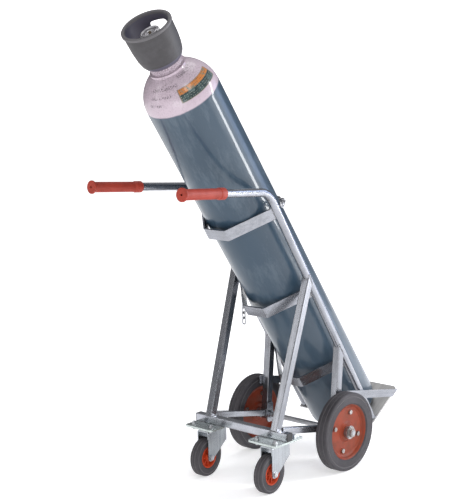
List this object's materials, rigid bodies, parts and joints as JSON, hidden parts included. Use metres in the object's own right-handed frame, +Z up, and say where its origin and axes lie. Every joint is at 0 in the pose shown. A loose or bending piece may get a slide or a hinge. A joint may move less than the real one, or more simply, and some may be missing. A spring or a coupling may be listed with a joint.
{
  "type": "gas cylinder trolley",
  "caption": "Welded steel gas cylinder trolley with road wheels, swivel castors and plastic grips, holding one chained gas cylinder with a valve guard.",
  "frame": {"origin": "floor level, midway between the grips and the toe plate and midway between the road wheels", "axes": "+X towards the toe plate, +Y to the left as the user pushes, +Z up"},
  "size_m": [1.0362, 0.437, 1.4381],
  "materials": {
    "cap_black": "black moulded cap",
    "castor_red": "moulded orange-red plastic",
    "castor_zinc": "bright zinc plate",
    "chain_zinc": "bright zinc plate",
    "cylinder_paint": "blue-grey paint with a pale mauve shoulder",
    "fastener_zinc": "bright zinc plate",
    "frame_zinc": "bright zinc plate over welded tube",
    "grip_red": "soft red moulded grip",
    "guard_paint": "grey textured paint",
    "handwheel_grey": "dark grey moulding",
    "hub_steel": "plain turned steel",
    "neck_ring_steel": "dark grey paint",
    "tyre": "matt grey-black rubber",
    "valve_brass": "turned brass",
    "wheel_red": "gloss red paint"
  },
  "bodies": {
    "frame": {"axle": "fastener_zinc", "axle_bracket_left": "frame_zinc", "axle_bracket_right": "frame_zinc", "axle_nut_left": "fastener_zinc", "axle_nut_right": "fastener_zinc", "castor_bolts_left": "fastener_zinc", "castor_bolts_right": "fastener_zinc", "castor_head_left": "castor_zinc", "castor_head_right": "castor_zinc", "castor_plate_left": "castor_zinc", "castor_plate_right": "castor_zinc", "chain_eyes": "chain_zinc", "chain_loose": "chain_zinc", "chain_upper": "chain_zinc", "cradle_lower": "frame_zinc", "cradle_middle": "frame_zinc", "cradle_upper": "frame_zinc", "crossbar": "frame_zinc", "crossbar_cap_left": "cap_black", "crossbar_cap_right": "cap_black", "grip_left": "grip_red", "grip_right": "grip_red", "leg_left": "frame_zinc", "leg_right": "frame_zinc", "mount_plate_left": "frame_zinc", "mount_plate_right": "frame_zinc", "post_left": "frame_zinc", "post_right": "frame_zinc", "rail_left": "frame_zinc", "rail_right": "frame_zinc", "side_bar_left": "frame_zinc", "side_bar_right": "frame_zinc", "stay_left": "frame_zinc", "stay_right": "frame_zinc", "toe_plate": "frame_zinc"},
    "wheel_right": {"wheel_bolts_right": "fastener_zinc", "wheel_hub_right": "hub_steel", "wheel_rim_inner_right": "wheel_red", "wheel_rim_outer_right": "wheel_red", "wheel_tyre_right": "tyre"},
    "wheel_left": {"wheel_bolts_left": "fastener_zinc", "wheel_hub_left": "hub_steel", "wheel_rim_inner_left": "wheel_red", "wheel_rim_outer_left": "wheel_red", "wheel_tyre_left": "tyre"},
    "castor_swivel_right": {"castor_axle_right": "fastener_zinc", "castor_fork_right": "castor_zinc"},
    "castor_swivel_left": {"castor_axle_left": "fastener_zinc", "castor_fork_left": "castor_zinc"},
    "castor_wheel_right": {"castor_rim_right": "castor_red", "castor_tyre_right": "tyre"},
    "castor_wheel_left": {"castor_rim_left": "castor_red", "castor_tyre_left": "tyre"},
    "cylinder": {"cylinder_vessel": "cylinder_paint", "neck_ring": "neck_ring_steel", "valve_body": "valve_brass", "valve_guard": "guard_paint"},
    "handwheel": {"valve_handwheel": "handwheel_grey"}
  },
  "joints": [
    {"name": "wheel_right_spin", "type": "hinge", "parent": "frame", "child": "wheel_right", "pos_m": [0.18539, -0.1825, 0.125], "axis": [0, 1, 0], "continuous": true},
    {"name": "wheel_left_spin", "type": "hinge", "parent": "frame", "child": "wheel_left", "pos_m": [0.18539, 0.1825, 0.125], "axis": [0, 1, 0], "continuous": true},
    {"name": "castor_right_swivel", "type": "hinge", "parent": "frame", "child": "castor_swivel_right", "pos_m": [-0.09161, -0.13, 0.146], "axis": [0, 0, 1], "continuous": true},
    {"name": "castor_right_spin", "type": "hinge", "parent": "castor_swivel_right", "child": "castor_wheel_right", "pos_m": [-0.12556, -0.13178, 0.0605], "axis": [-0.0523, 0.9986, 0], "continuous": true},
    {"name": "castor_left_swivel", "type": "hinge", "parent": "frame", "child": "castor_swivel_left", "pos_m": [-0.09161, 0.13, 0.146], "axis": [0, 0, 1], "continuous": true},
    {"name": "castor_left_spin", "type": "hinge", "parent": "castor_swivel_left", "child": "castor_wheel_left", "pos_m": [-0.12556, 0.12822, 0.0605], "axis": [-0.0523, 0.9986, 0], "continuous": true},
    {"name": "cylinder_lift", "type": "slide", "parent": "frame", "child": "cylinder", "axis": [-0.5678, 0, 0.8231], "range_m": [0, 0.25]},
    {"name": "handwheel_turn", "type": "hinge", "parent": "cylinder", "child": "handwheel", "pos_m": [-0.43316, 0, 1.36887], "axis": [-0.5678, 0, 0.8231], "range_deg": [0, 540]}
  ]
}
